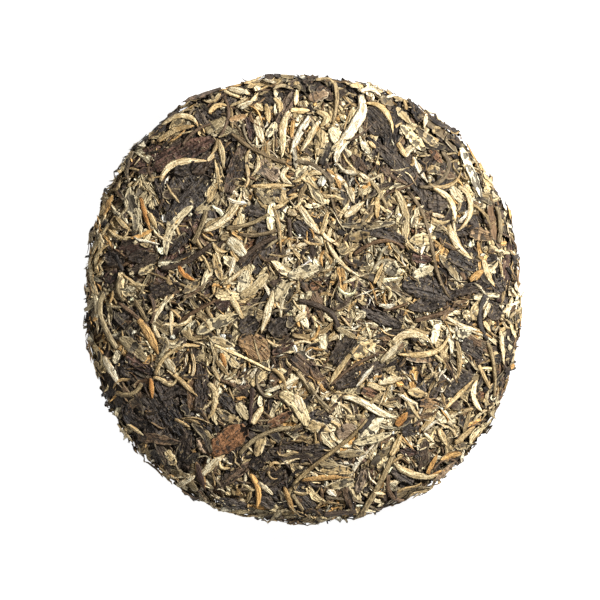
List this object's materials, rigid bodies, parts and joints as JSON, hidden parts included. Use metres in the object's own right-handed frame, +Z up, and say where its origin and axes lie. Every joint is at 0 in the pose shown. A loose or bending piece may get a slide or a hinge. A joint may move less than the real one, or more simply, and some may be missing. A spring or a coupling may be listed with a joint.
{
  "type": "pressed white tea cake",
  "caption": "Low round cake of pressed white tea with a domed face, rounded rim and flat underside, its skin made of dark leaves, pale buds and thin stems.",
  "frame": {"origin": "middle of the flat underside", "axes": "+Z up through the domed face, +Y towards the top of the face as pictured"},
  "size_m": [0.1961, 0.2014, 0.0265],
  "materials": {
    "pressed_leaf": "matt dried leaf, buds and stems pressed together",
    "dark_leaf": "matt, wrinkled, nearly black leaf",
    "tan_leaf": "matt leaf underside, grey to tan",
    "russet_leaf": "matt red-brown leaf",
    "pale_bud": "downy cream bud with lengthwise streaks",
    "stem": "satin olive-brown stalk"
  },
  "bodies": {
    "root": {"tea_cake": "pressed_leaf"}
  },
  "joints": []
}
